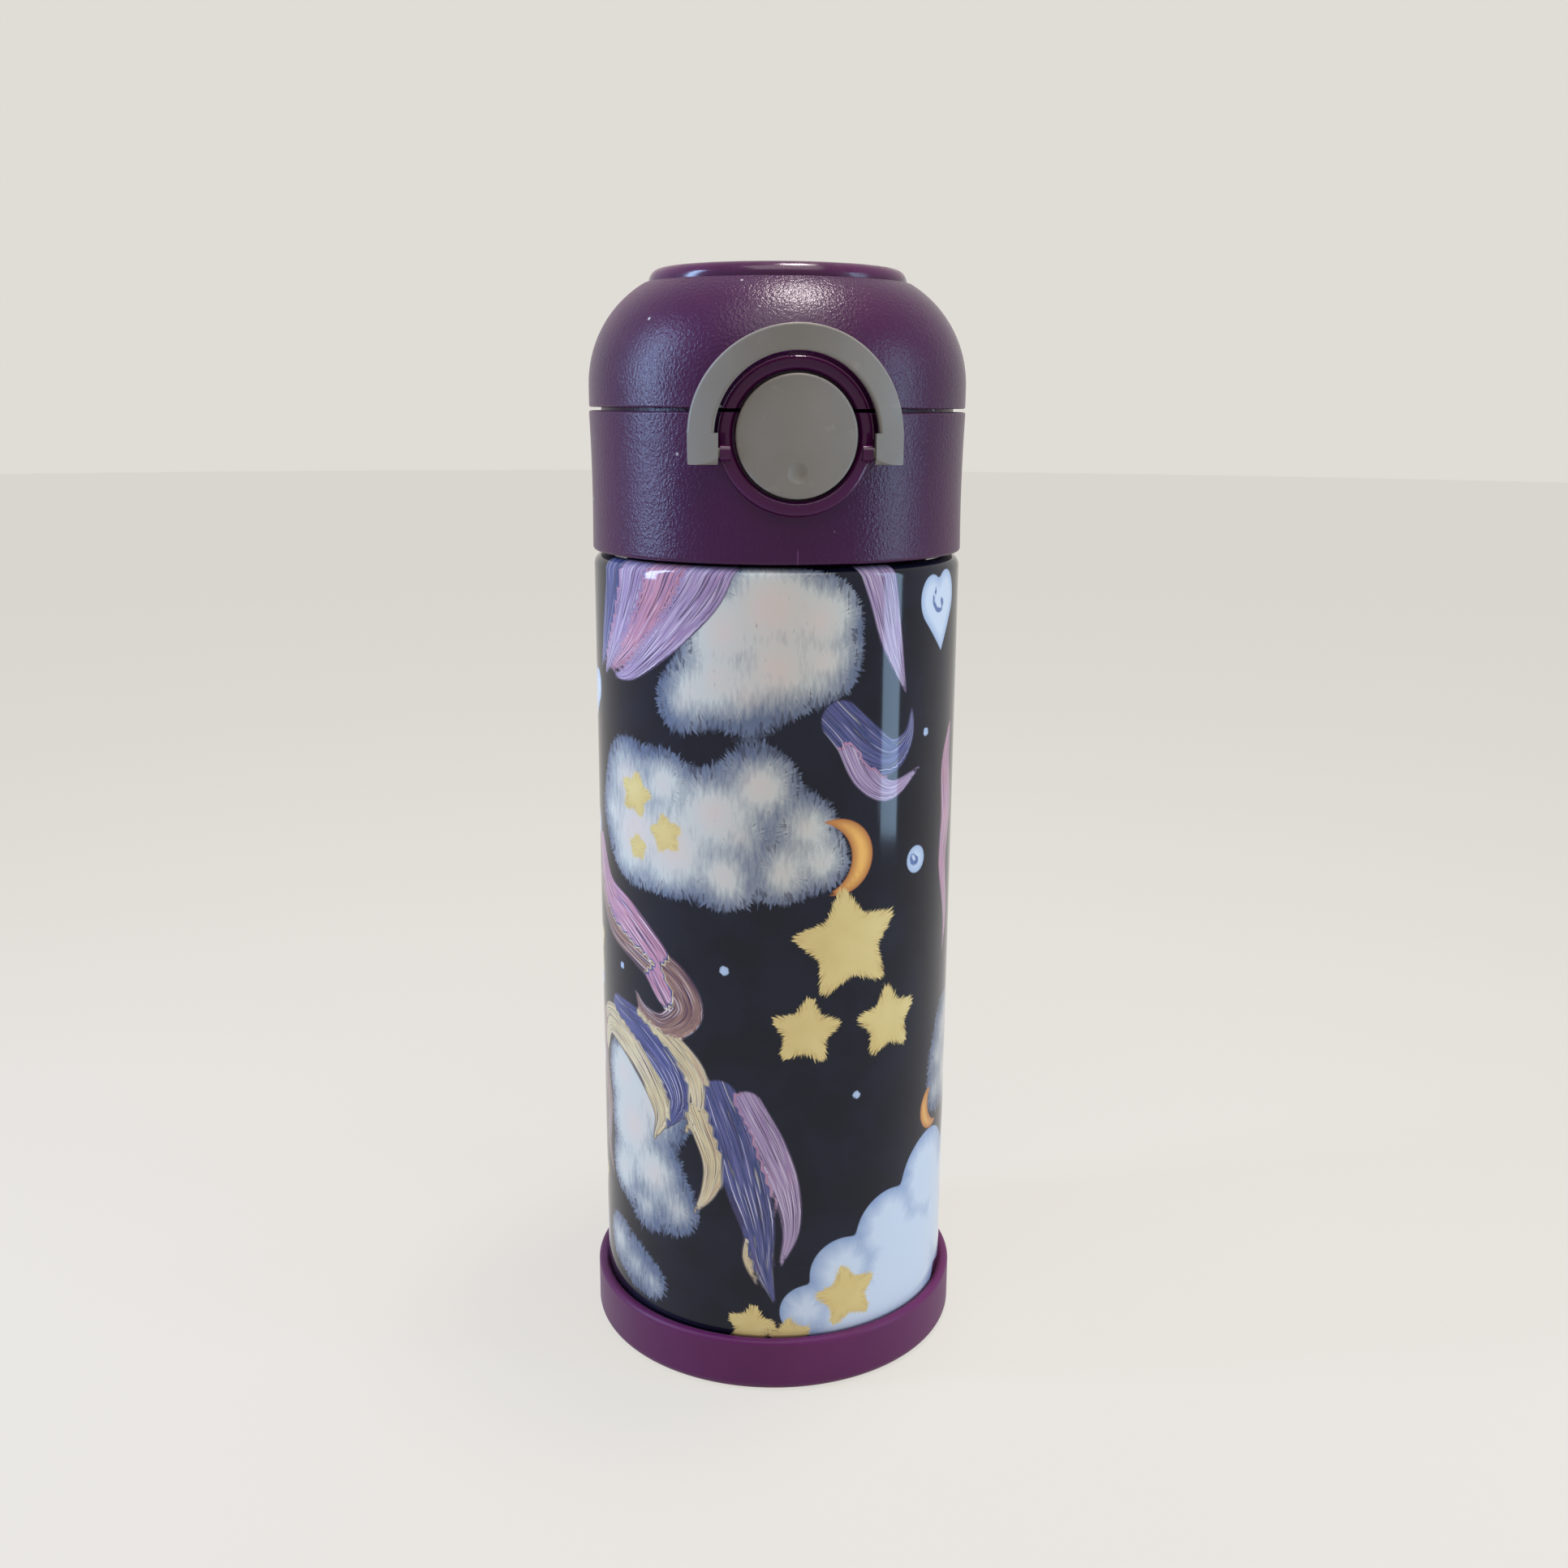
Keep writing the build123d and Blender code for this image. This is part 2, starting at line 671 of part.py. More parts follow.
# Silicone seal: a disc over the spout with a short plug in its hole.
seal_face = spout_top + seal_lift
with BuildPart() as cap_seal:
    add(turned([
        (0, liner_height), (seal_radius, liner_height),
        (seal_radius, seal_face), (plug_radius, seal_face),
        (plug_radius - 0.4, seal_face - plug_depth), (0, seal_face - plug_depth),
    ]))
    fillet(cap_seal.edges().group_by(Axis.Z)[0], 0.3)

# Steel pin that the carry ring swings on.
with BuildPart() as ring_pin:
    add(bar_along_x(ring_pin_radius, ring_radius, ring_height, -ring_lug_end, ring_lug_end))
    chamfer(ring_pin.edges(), 0.15)

# Carry ring: a round ring that lies in the dome's groove.
with BuildPart() as carry_ring:
    with BuildSketch(Plane.XZ):
        with Locations((ring_radius, ring_height)):
            Circle(ring_tube)
    revolve(axis=Axis.Z)
    add(bar_along_x(ring_pin_radius + running, ring_radius, ring_height,
                    -ring_lug_end, ring_lug_end), mode=Mode.SUBTRACT)


# ---- Swing lock ------------------------------------------------------------------------------

with BuildPart() as lock_bail:
    with BuildSketch(Plane.XZ.offset(bail_back_radius / 2)):
        with Locations((0, button_height)):
            Circle(bail_outer)
            Circle(bail_inner, mode=Mode.SUBTRACT)
        with Locations((0, button_height)):
            Rectangle(2 * bail_outer, 2 * bail_outer, align=(Align.CENTER, Align.MAX),
                      mode=Mode.SUBTRACT)
        for side in (-1, 1):
            with Locations((side * (bail_inner + bail_outer) / 2, button_height)):
                Rectangle(bail_outer - bail_inner, button_height - bail_bottom,
                          align=(Align.CENTER, Align.MAX))
            with Locations((side * (bail_foot_inner + bail_outer) / 2,
                            bail_bottom + bail_foot_height)):
                Rectangle(bail_outer - bail_foot_inner, bail_foot_height,
                          align=(Align.CENTER, Align.MAX))
    extrude(amount=bail_back_radius)
    add(drum(bail_face_radius, bail_bottom - 5, button_height + 30), mode=Mode.INTERSECT)
    add(drum(bail_back_radius, bail_bottom - 5, button_height + 30), mode=Mode.SUBTRACT)

    face_edges = lock_bail.edges().filter_by(
        lambda edge: edge.length > bail_outer and all(
            abs(hypot((edge @ part).X, (edge @ part).Y) - bail_face_radius) < 0.01
            for part in (0.2, 0.5, 0.8))
    )
    fillet(face_edges, bail_round)

bail_front = drum(bail_face_radius, bail_bottom - 5, button_height)
for side in (-1, 1):
    ends = sorted([side * bail_foot_inner, side * bail_outer])
    with BuildPart() as foot_cutter:
        with BuildSketch(Plane.YZ.offset(ends[0])):
            with Locations((-bail_pivot_y, bail_pivot_height)):
                Rectangle(12, 12, align=(Align.CENTER, Align.MAX))
                Circle(bail_foot_radius, mode=Mode.SUBTRACT)
        extrude(amount=ends[1] - ends[0])
    with BuildPart() as boss:
        add(bar_along_x(bail_foot_radius - clear, -bail_pivot_y, bail_pivot_height,
                        *sorted([side * bail_foot_inner, side * (bail_outer - 1.5)])))
        add(bail_front, mode=Mode.INTERSECT)
    with lock_bail:
        add(foot_cutter.part, mode=Mode.SUBTRACT)
        add(boss.part)
        add(bar_along_x(bail_pin_radius, -bail_pivot_y, bail_pivot_height,
                        *sorted([side * (bail_pin_end + 0.2), side * bail_outer * 0.8])))


# ---- Button and latch ---------------------------------------------------------------------

with BuildPart() as button:
    add(plug_along_y(button_radius, button_face + 2, button_back))
    add(drum(button_face, button_height - 20, button_height + 20), mode=Mode.INTERSECT)
    front_rim = button.edges().filter_by(lambda edge: edge.center().Y < -button_back - 0.1
                                         and edge.length > button_radius)
    rim_wall = sqrt(button_face ** 2 - button_radius ** 2) - button_back
    fillet(front_rim, min(button_round, 0.6 * rim_wall))
    dimple_ball = (dimple_radius ** 2 + dimple_depth ** 2) / (2 * dimple_depth)
    with Locations((0, dimple_depth - dimple_ball - button_face, button_height - dimple_drop)):
        Sphere(dimple_ball, mode=Mode.SUBTRACT)
    dimple_rim = button.edges().filter_by(lambda edge: edge.center().Z < button_height - 4
                                          and edge.length < 4 * pi * dimple_radius / 1.5
                                          and edge.center().Y < -button_face + 1)
    fillet(dimple_rim, edge_round)

with BuildPart() as latch_hook:
    add(block(latch_width, button_back, post_back, arm_bottom, arm_top))
    add(block(latch_width, post_front, post_back, arm_top, post_top))
    add(block(latch_width, nose_tip, post_front, nose_bottom, post_top))


# ---- Write the parts -----------------------------------------------------------------------

pieces = {
    "base_boot": base_boot,
    "base_plate": base_plate,
    "outer_shell": outer_shell,
    "inner_flask": inner_flask,
    "getter": getter,
    "neck_gasket": neck_gasket,
    "thread_insert": thread_insert,
    "collar": collar,
    "spout": spout,
    "spout_o_ring": spout_o_ring,
    "hinge_pin": hinge_pin,
    "hinge_spring": hinge_spring,
    "button_spring": button_spring,
    "cap_shell": cap_shell,
    "cap_liner": cap_liner,
    "cap_seal": cap_seal,
    "ring_pin": ring_pin,
    "carry_ring": carry_ring,
    "lock_bail": lock_bail,
    "button": button,
    "latch_hook": latch_hook,
}
for name, piece in pieces.items():
    piece.part.label = name
    export_step(piece.part, f"parts/{name}.step")
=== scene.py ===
from math import cos, pi, radians, sin, sqrt

import bmesh
import bpy
import numpy as np
from mathutils import Matrix, Vector


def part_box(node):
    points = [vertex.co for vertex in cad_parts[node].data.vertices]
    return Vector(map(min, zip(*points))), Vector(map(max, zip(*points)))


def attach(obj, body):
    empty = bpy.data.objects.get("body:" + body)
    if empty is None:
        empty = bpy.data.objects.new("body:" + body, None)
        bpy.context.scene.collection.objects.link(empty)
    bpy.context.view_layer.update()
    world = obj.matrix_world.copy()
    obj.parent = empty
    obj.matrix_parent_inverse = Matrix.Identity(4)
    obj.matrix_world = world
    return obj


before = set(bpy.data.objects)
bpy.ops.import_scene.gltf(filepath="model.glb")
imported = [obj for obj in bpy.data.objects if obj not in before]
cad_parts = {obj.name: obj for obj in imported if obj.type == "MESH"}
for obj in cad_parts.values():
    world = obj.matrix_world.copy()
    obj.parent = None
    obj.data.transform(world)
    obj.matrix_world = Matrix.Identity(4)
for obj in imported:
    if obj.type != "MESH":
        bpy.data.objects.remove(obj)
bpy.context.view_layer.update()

# ---- Steel flask -------------------------------------------------------------------------
# Two drawn walls of stainless steel, welded at the lip, with a vacuum between them. The neck
# and its rolled thread are bare and brushed, and so are the floor inside and the disc that
# closes the vacuum, which holds a dark getter pill.

MM = 0.001


def paint(red, green, blue):
    """A colour from its 0 to 255 values on a screen."""
    def light(value):
        value /= 255
        return value / 12.92 if value <= 0.04045 else ((value + 0.055) / 1.055) ** 2.4
    return (light(red), light(green), light(blue), 1.0)


def finish(name, roughness, metallic=0.0, specular=0.5):
    """A new material with its node tree and its Principled shader."""
    material = bpy.data.materials.new(name)
    material.use_nodes = True
    shader = material.node_tree.nodes["Principled BSDF"]
    shader.inputs["Roughness"].default_value = roughness
    shader.inputs["Metallic"].default_value = metallic
    shader.inputs["Specular IOR Level"].default_value = specular
    return material, material.node_tree, shader


def node(tree, kind, inputs=None, **settings):
    """A node of a kind, with its settings, and its inputs either set or wired."""
    new = tree.nodes.new("ShaderNode" + kind)
    for key, value in settings.items():
        setattr(new, key, value)
    for key, value in (inputs or {}).items():
        if isinstance(value, bpy.types.NodeSocket):
            tree.links.new(value, new.inputs[key])
        else:
            new.inputs[key].default_value = value
    return new


def calc(tree, operation, first, second=0.0, third=0.0):
    """A sum on one or more numbers or sockets."""
    return node(tree, "Math", {0: first, 1: second, 2: third}, operation=operation).outputs[0]


def ramp(tree, value, low, high, start=0.0, end=1.0):
    """A value carried from one range to another, held at its ends."""
    return node(tree, "MapRange", {"Value": value, "From Min": low, "From Max": high,
                                   "To Min": start, "To Max": end}).outputs[0]


def blend(tree, amount, first, second):
    """Two colours mixed by an amount."""
    mix = node(tree, "Mix", {0: amount, 6: first, 7: second}, data_type="RGBA")
    return mix.outputs[2]


def place(tree, stretch=(1, 1, 1)):
    """Object coordinates, in metres, stretched along each axis."""
    coordinates = node(tree, "TexCoord").outputs["Object"]
    return node(tree, "Mapping", {"Vector": coordinates, "Scale": stretch}).outputs[0]


def grain(tree, vector, scale, detail=2.0, roughness=0.5):
    """Noise from 0 to 1 at so many cells a metre."""
    return node(tree, "TexNoise", {"Vector": vector, "Scale": scale, "Detail": detail,
                                   "Roughness": roughness}).outputs[0]


def emboss(tree, shader, height, strength, distance):
    """A height wired to the shader as a bump."""
    bump = node(tree, "Bump", {"Height": height, "Strength": strength, "Distance": distance})
    tree.links.new(bump.outputs[0], shader.inputs["Normal"])


def coat_nodes(material, *names):
    """Gives CAD nodes a material."""
    for name in names:
        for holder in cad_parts[name].material_slots:
            holder.material = material


def steel(name, colour, roughness, stretch):
    """Brushed steel, its scratches drawn out along the stretch."""
    material, tree, shader = finish(name, roughness, metallic=1.0)
    scratches = grain(tree, place(tree, stretch), 900.0, 4.0, 0.6)
    cloudy = grain(tree, place(tree), 70.0)
    tint = blend(tree, ramp(tree, cloudy, 0.3, 0.7), colour,
                 [channel * 0.86 for channel in colour[:3]] + [1.0])
    tree.links.new(tint, shader.inputs["Base Color"])
    worn = calc(tree, "MULTIPLY_ADD", scratches, 0.22, roughness - 0.11)
    tree.links.new(worn, shader.inputs["Roughness"])
    emboss(tree, shader, scratches, 0.12, 0.02 * MM)
    return material


flask_steel = steel("brushed_steel", paint(196, 196, 198), 0.30, (0.04, 0.04, 1.0))
coat_nodes(flask_steel, "outer_shell", "inner_flask")
coat_nodes(steel("base_steel", paint(186, 186, 190), 0.36, (0.2, 1.0, 1.0)), "base_plate")
coat_nodes(steel("getter_alloy", paint(92, 92, 98), 0.55, (1.0, 1.0, 1.0)), "getter")


# ---- Printed coat -------------------------------------------------------------------------
# A glossy wrap print under clear lacquer, baked on the outer wall from the foot to the
# shoulder: night blue with fluffy pale clouds, streamers, felt stars, a heart and a moon.
# The print repeats, turned over, on the far side.

wall_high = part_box("outer_shell")[1]
boot_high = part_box("base_boot")[1]
collar_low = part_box("collar")[0]
wall_radius = wall_high.x
coat_radius = wall_radius + 0.05 * MM
coat_film = 0.04 * MM
coat_start = boot_high.z - 0.5 * MM
shoulder_round = 2.0 * MM
shoulder_top = collar_low.z - 0.6 * MM + 0.05 * MM
straight_top = shoulder_top - shoulder_round
shoulder_steps = 8
under_collar = 28.6 * MM
coat_sides = 256
coat_cuts = 12

bpy.ops.object.select_all(action="DESELECT")
bpy.ops.mesh.primitive_cylinder_add(
    vertices=coat_sides, radius=coat_radius, depth=straight_top - coat_start,
    end_fill_type="NOTHING", location=(0, 0, (straight_top + coat_start) / 2))
coat = bpy.context.object
coat.name = "printed_coat_film"
bpy.ops.object.transform_apply(location=True, rotation=False, scale=False)
bpy.ops.object.mode_set(mode="EDIT")


def pick_edges(obj, wanted):
    """Selects in edit mode just the edges that a test on their two ends picks."""
    bpy.ops.mesh.select_mode(type="EDGE")
    bpy.ops.mesh.select_all(action="DESELECT")
    mesh = bmesh.from_edit_mesh(obj.data)
    for edge in mesh.edges:
        edge.select_set(wanted(edge.verts[0].co, edge.verts[1].co))
    bmesh.update_edit_mesh(obj.data)


for _ in range(2):
    pick_edges(coat, lambda a, b: abs(a.z - b.z) > 0.1 * MM)
    bpy.ops.mesh.subdivide(number_cuts=coat_cuts)
pick_edges(coat, lambda a, b: min(a.z, b.z) > straight_top - 0.01 * MM)
ring_radius, ring_height = coat_radius, straight_top
for step in range(1, shoulder_steps + 1):
    turn = pi / 2 * step / shoulder_steps
    radius = coat_radius - shoulder_round * (1 - cos(turn))
    height = straight_top + shoulder_round * sin(turn)
    bpy.ops.mesh.extrude_edges_move(
        TRANSFORM_OT_translate={"value": (0, 0, height - ring_height)})
    bpy.ops.transform.resize(value=(radius / ring_radius, radius / ring_radius, 1),
                             center_override=(0, 0, height))
    ring_radius, ring_height = radius, height
bpy.ops.mesh.extrude_edges_move(TRANSFORM_OT_translate={"value": (0, 0, 0)})
bpy.ops.transform.resize(value=(under_collar / ring_radius, under_collar / ring_radius, 1),
                         center_override=(0, 0, ring_height))
bpy.ops.mesh.select_all(action="SELECT")
bpy.ops.mesh.normals_make_consistent(inside=False)
bpy.ops.object.mode_set(mode="OBJECT")
bpy.ops.object.shade_smooth()
thick = coat.modifiers.new("film", "SOLIDIFY")
thick.thickness = coat_film
thick.offset = -1
bpy.ops.object.modifier_apply(modifier=thick.name)

# Where each point of the coat lies on the unrolled print, in millimetres.
points = np.array([corner.co for corner in coat.data.vertices]) / MM
half_turn = pi * wall_radius / MM
print_u = np.arctan2(points[:, 0], -points[:, 1]) * wall_radius / MM
print_v = points[:, 2] + np.maximum(wall_radius / MM - np.hypot(points[:, 0], points[:, 1]), 0)
far_side = 160.0


def both_sides(marks):
    """The print's marks, and again turned over on the far side."""
    return marks + [(u + half_turn, far_side - v, *rest) for u, v, *rest in marks]


def from_mark(u, v):
    """How far each point lies from a mark, around and up."""
    across = (print_u - u + half_turn) % (2 * half_turn) - half_turn
    return across, print_v - v


def nearest(shapes):
    """The nearest of several shapes: its edge distance and how far round it, in mm."""
    edge = np.full(len(points), 99.0)
    turn = np.zeros(len(points))
    for shape_edge, shape_turn in shapes:
        closer = shape_edge < edge
        edge = np.where(closer, shape_edge, edge)
        turn = np.where(closer, shape_turn, turn)
    return edge, turn


def puffs(marks, fusing=0.05):
    """Round puffs that grow together into a cloud, the more the larger fusing is, in mm."""
    shapes = []
    fused = np.zeros(len(points))
    for u, v, radius in both_sides(marks):
        x, y = from_mark(u, v)
        away = np.hypot(x, y) - radius
        fused += np.exp(np.clip(-away / fusing, -40, 40))
        shapes.append((away, np.arctan2(x, y) * radius + u * 3.1))
    return -fusing * np.log(np.maximum(fused, 1e-17)), nearest(shapes)[1]


def stars(marks, plump=0.9, waist=0.54):
    """Rounded five-pointed stars, each with its radius and tilt."""
    shapes = []
    lean_a = np.array((0.80902, -0.58779))
    lean_b = np.array((-0.80902, -0.58779))
    for u, v, radius, tilt in both_sides(marks):
        x, y = from_mark(u, v)
        turn = np.arctan2(x, y) * radius
        tilt = radians(tilt)
        x, y = np.abs(x * cos(tilt) + y * sin(tilt)), y * cos(tilt) - x * sin(tilt)
        for lean in (lean_a, lean_b):
            fold = 2 * np.maximum(lean[0] * x + lean[1] * y, 0)
            x, y = x - fold * lean[0], y - fold * lean[1]
        radius -= plump
        x, y = np.abs(x), y - radius
        side = waist * np.array((-lean_a[1], lean_a[0])) - np.array((0, 1))
        along = np.clip((x * side[0] + y * side[1]) / side.dot(side), 0, radius)
        edge = np.hypot(x - side[0] * along, y - side[1] * along)
        shapes.append((edge * np.sign(y * side[0] - x * side[1]) - plump, turn + u))
    return nearest(shapes)


def hearts(marks):
    """Rounded hearts, each with its height and tilt."""
    shapes = []
    for u, v, height, tilt in both_sides(marks):
        x, y = from_mark(u, v)
        tilt = radians(tilt)
        x, y = x * cos(tilt) + y * sin(tilt), y * cos(tilt) - x * sin(tilt)
        x, y = np.abs(x) / height * 1.25, y / height + 0.5
        lobe = np.hypot(x - 0.25, y - 0.75) - sqrt(2) / 4
        half = np.maximum(x + y, 0) / 2
        point = np.minimum(np.hypot(x, y - 1), np.hypot(x - half, y - half)) * np.sign(x - y)
        shapes.append((np.where(x + y > 1, lobe, point) * height, x * height))
    return nearest(shapes)[0]


def streamers(bands, pieces=6):
    """Tapered flowing bands through points with radii: edge, across, along and tint."""
    edge = np.full(len(points), 99.0)
    across, along, tint = (np.zeros(len(points)) for _ in range(3))
    for shade, knots in bands:
        for turned_over in (False, True):
            line = [np.array((u + half_turn, far_side - v, r)) if turned_over
                    else np.array((u, v, r)) for u, v, r in knots]
            line = [2 * line[0] - line[1], *line, 2 * line[-1] - line[-2]]
            run = [line[1]]
            for a, b, c, d in zip(line, line[1:], line[2:], line[3:]):
                for step in range(1, pieces + 1):
                    t = step / pieces
                    bow = 2 * a - 5 * b + 4 * c - d
                    swing = 3 * b - 3 * c + d - a
                    run.append(0.5 * (2 * b + (c - a) * t + bow * t ** 2 + swing * t ** 3))
            length = 0.0
            for (u, v, r), (u2, v2, r2) in zip(run, run[1:]):
                x, y = from_mark(u, v)
                dx, dy = u2 - u, v2 - v
                span = max(np.hypot(dx, dy), 0.01)
                t = np.clip((x * dx + y * dy) / span ** 2, 0, 1)
                radius = np.maximum(r + (r2 - r) * t, 0.05)
                away = np.hypot(x - dx * t, y - dy * t) - radius
                closer = away < edge
                side = (x * dy - y * dx) / span / radius
                edge = np.where(closer, away, edge)
                across = np.where(closer, side, across)
                along = np.where(closer, length + t * span, along)
                tint = np.where(closer, shade, tint)
                length += span
    return edge, across, along, tint


cloud_edge, cloud_turn = puffs([
    (-4, 143, 9.5), (4, 141, 7.5), (-12, 139, 7.5), (-18, 128.5, 5.2), (-13, 131, 6.5),
    (-3, 133, 8.5), (5, 134, 6.5), (-20, 126.5, 4.4), (-8, 128.5, 6),
    (-33, 111, 8), (-31, 102, 9.5), (-22, 101, 9), (-12, 97, 6.2), (-2, 98, 5.5),
    (5, 99.5, 4.8), (-24, 112, 6), (-14, 108, 7.5), (-6, 113, 7), (2, 106, 5.5), (-9, 104, 5),
    (-38, 105, 5), (-33, 46, 8.5), (-27, 38, 7), (-22, 32.5, 5), (-36, 55, 7), (-26, 52, 8),
    (-36, 36, 5.5), (-29, 31, 4.5), (-39, 20, 5), (-33, 17.5, 4.5), (-28, 16, 3.4),
    (40, 62, 6), (36, 56, 4.5), (35, 50, 4), (42, 52, 7)], 1.6)
white_edge, white_turn = puffs([
    (3, 15, 5), (10, 22, 6.5), (20, 28, 7.5), (32, 34, 9), (14, 11, 10), (26, 18, 12.5),
    (42, 24, 12), (47, 36, 6)], 0.5)
star_edge, star_turn = stars([
    (10, 84.6, 10.2, 8), (2.4, 69, 6.4, -6), (18.6, 68.8, 6.8, 4), (-30.7, 109.1, 4.2, -12),
    (-23.3, 103.1, 3.6, 10), (-30.2, 99.6, 2.4, 0), (10.7, 16.8, 6.2, 10),
    (-7.2, 11.7, 4.6, -8), (0, 9.7, 4, 6), (51, 84, 7, 10), (53, 130, 4, -8)])
heart_edge = hearts([(31, 140, 12.5, 6), (-49, 124, 9, -10), (52, 108, 7, 0)])
moon_outer = puffs([(7.6, 100.3, 6.8), (33, 47.5, 4.4)])[0]
moon_inner = puffs([(4.0, 100.1, 6.4), (36, 48.5, 4.6)])[0]
moon_edge = np.maximum(moon_outer, -moon_inner)
pearl_edge = puffs([(24.9, 97.4, 2.5), (-50, 70, 2.2), (54, 60, 2.4), (27, 120, 0.8),
                    (-12, 80, 0.9), (12, 56, 0.8), (-36, 76, 0.7)])[0]
LILAC, ROSE, BLUE, STRAW, TAN = 0.08, 0.27, 0.47, 0.68, 0.9
band_edge, band_across, band_along, band_tint = streamers([
    (BLUE, [(-36, 151, 3.6), (-37, 144, 3.2), (-40, 136, 2.2), (-43, 130, 0.3)]),
    (LILAC, [(-30, 151, 4.8), (-32, 144, 4), (-36, 136, 2.8), (-41, 129, 0.3)]),
    (LILAC, [(-14, 151, 4.6), (-17, 145, 4.6), (-24, 137, 3.4), (-31, 131, 1.8), (-37, 129, 0.3)]),
    (ROSE, [(-22, 151, 4.8), (-25, 144, 4.4), (-31, 136, 3), (-38, 130, 0.3)]),
    (LILAC, [(14, 151, 3.6), (16, 144, 3), (18, 136, 2.2), (21, 128, 0.3)]),
    (BLUE, [(8, 124, 3.6), (13, 119, 4), (18, 117, 3), (22, 120, 1.4), (23, 125, 0.3)]),
    (LILAC, [(10, 120, 2.8), (13, 114, 2.6), (18, 111, 1.8), (25, 114, 0.3)]),
    (ROSE, [(-46, 97, 2), (-42, 89, 3.6), (-34, 85, 4.4), (-27, 80, 4), (-23, 74.5, 3.4)]),
    (TAN, [(-47, 90, 1.6), (-40, 83.5, 2.4), (-31, 80.5, 3), (-23, 77, 3.8), (-19.5, 71.5, 3.6),
           (-24, 67.6, 2.6), (-29, 69.2, 1.4), (-31.5, 72.5, 0.3)]),
    (STRAW, [(-46, 58, 2.2), (-43, 63.5, 3), (-36, 63, 3.4), (-29, 58, 3), (-25, 51, 2),
             (-27, 45, 0.3)]),
    (BLUE, [(-38, 67.5, 2.4), (-31, 65.5, 3.4), (-24, 60.5, 3.4), (-21, 54, 2.4),
            (-24, 48, 0.3)]),
    (STRAW, [(-30, 68, 1.6), (-24, 65.5, 2.4), (-18, 60, 2.6), (-17, 53, 1.6), (-20, 48, 0.3)]),
    (TAN, [(-46, 62, 2.6), (-47, 54, 2.6), (-44, 46, 2), (-45, 38, 1.4), (-42, 32, 0.3)]),
    (STRAW, [(-17, 52, 2.6), (-14, 44, 2.4), (-15, 38, 1.6), (-18, 33, 0.3)]),
    (BLUE, [(-13, 56, 3.6), (-10, 48, 4.4), (-8, 40, 4.2), (-6, 32, 3.2), (-5, 24, 1.8),
            (-3, 17, 0.3)]),
    (LILAC, [(-8, 55, 3), (-4, 47, 3.2), (-1, 39, 2.6), (0, 31, 1.6), (-2, 24, 0.3)]),
    (STRAW, [(-6, 50, 1), (-9, 42, 1.4), (-6.5, 34, 1.2), (-8, 26, 0.9), (-6, 20, 0.2)]),
    (ROSE, [(38, 120, 0.5), (36, 113, 2.4), (37, 104, 3), (35.5, 95, 2.2), (38, 84, 1.2),
            (37, 76, 0.2)]),
    (LILAC, [(50, 150, 3), (53, 142, 3.2), (50, 134, 2.2), (52, 126, 0.3)]),
    (BLUE, [(-54, 50, 2.8), (-57, 40, 3), (-54, 30, 2), (-56, 22, 0.3)]),
])
curl_wind, curl_line = 5.6, 0.42
curls = []
for u, v, size, twist in [(31, 142.5, 2.8, 1), (24.9, 97.4, 1.5, 1), (-50, 70, 1.3, -1),
                          (54, 60, 1.4, 1)]:
    curls.append((BLUE, [
        (u + twist * size * t * sin(curl_wind * t), v + size * t * cos(curl_wind * t), curl_line)
        for t in (0.15, 0.35, 0.5, 0.65, 0.8, 0.9, 1.0)]))
curl_edge = streamers(curls)[0]

for name, values in {
        "cloud_edge": cloud_edge, "cloud_turn": cloud_turn, "white_edge": white_edge,
        "white_turn": white_turn, "star_edge": star_edge, "star_turn": star_turn,
        "heart_edge": np.minimum(heart_edge, pearl_edge), "moon_edge": moon_edge,
        "band_edge": band_edge, "band_across": band_across, "band_along": band_along,
        "band_tint": band_tint, "curl_edge": curl_edge}.items():
    stored = coat.data.attributes.new(name, "FLOAT", "POINT")
    stored.data.foreach_set("value", np.asarray(values, np.float32))

print_finish, tree, shader = finish("printed_lacquer", 0.10, specular=0.3)


def mark(name):
    """A number kept on the coat's points."""
    return node(tree, "Attribute", attribute_name=name).outputs["Fac"]


def inside(edge, soft=0.12):
    """1 inside a shape's edge and 0 outside."""
    return ramp(tree, edge, soft, -soft)


def strokes(first, second, width, length, detail=3.0):
    """Fine brush strokes along the second coordinate."""
    vector = node(tree, "CombineXYZ", {0: calc(tree, "DIVIDE", first, width),
                                       1: calc(tree, "DIVIDE", second, length)}).outputs[0]
    return node(tree, "TexNoise", {"Vector": vector, "Scale": 1.0, "Detail": detail}).outputs[0]


spread = place(tree)
mottle = grain(tree, spread, 110.0, 3.0)
colour = blend(tree, ramp(tree, mottle, 0.35, 0.7), paint(11, 14, 27), paint(18, 23, 40))

# fluffy clouds: cream inside, blue-grey shade and short dark tufts at the rim
edge, turn = mark("cloud_edge"), mark("cloud_turn")
fur = strokes(turn, edge, 0.5, 2.2)
rough_edge = calc(tree, "MULTIPLY_ADD", calc(tree, "SUBTRACT", fur, 0.5), 3.6, edge)
pile = grain(tree, place(tree, (1.0, 1.0, 0.25)), 1500.0, 3.0)
shade = grain(tree, place(tree, (1.0, 1.0, 1.4)), 48.0, 2.0)
depth = ramp(tree, edge, 0.5, -6.0, -0.25, 0.55)
pile_depth = calc(tree, "MULTIPLY_ADD", calc(tree, "SUBTRACT", pile, 0.5), 0.8, depth)
tuft = calc(tree, "ADD", pile_depth, ramp(tree, shade, 0.34, 0.66, 0.0, 0.6))
rim = ramp(tree, calc(tree, "MULTIPLY_ADD", calc(tree, "SUBTRACT", fur, 0.5), 5.0, edge),
           -3.2, -0.6)
puff = blend(tree, ramp(tree, tuft, 0.05, 0.75), paint(92, 101, 122), paint(196, 195, 187))
